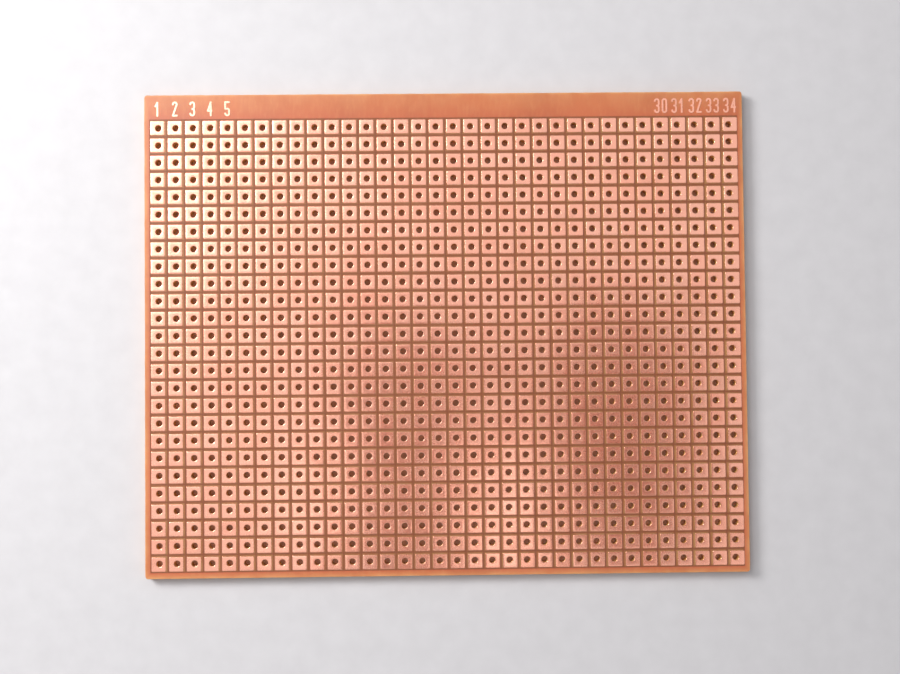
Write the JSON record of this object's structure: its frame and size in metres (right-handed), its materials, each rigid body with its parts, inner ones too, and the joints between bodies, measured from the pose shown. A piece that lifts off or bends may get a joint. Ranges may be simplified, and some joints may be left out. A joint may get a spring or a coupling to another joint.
{
  "type": "prototype board",
  "caption": "Single-sided prototype board: a phenolic paper laminate drilled with a square grid of lead holes, each ringed by its own square copper pad.",
  "frame": {"origin": "below the middle of the board, on the plane of its bare underside", "axes": "+X along the rows of holes, +Y up the columns towards the marking strip, +Z out of the copper side"},
  "size_m": [0.088, 0.0706, 0.0016],
  "materials": {
    "phenolic_laminate": "satin",
    "copper_foil": "satin"
  },
  "bodies": {
    "root": {"laminate": "phenolic_laminate", "pads_row_01": "copper_foil", "pads_row_02": "copper_foil", "pads_row_03": "copper_foil", "pads_row_04": "copper_foil", "pads_row_05": "copper_foil", "pads_row_06": "copper_foil", "pads_row_07": "copper_foil", "pads_row_08": "copper_foil", "pads_row_09": "copper_foil", "pads_row_10": "copper_foil", "pads_row_11": "copper_foil", "pads_row_12": "copper_foil", "pads_row_13": "copper_foil", "pads_row_14": "copper_foil", "pads_row_15": "copper_foil", "pads_row_16": "copper_foil", "pads_row_17": "copper_foil", "pads_row_18": "copper_foil", "pads_row_19": "copper_foil", "pads_row_20": "copper_foil", "pads_row_21": "copper_foil", "pads_row_22": "copper_foil", "pads_row_23": "copper_foil", "pads_row_24": "copper_foil", "pads_row_25": "copper_foil", "pads_row_26": "copper_foil", "column_numbers": "copper_foil"}
  },
  "joints": []
}
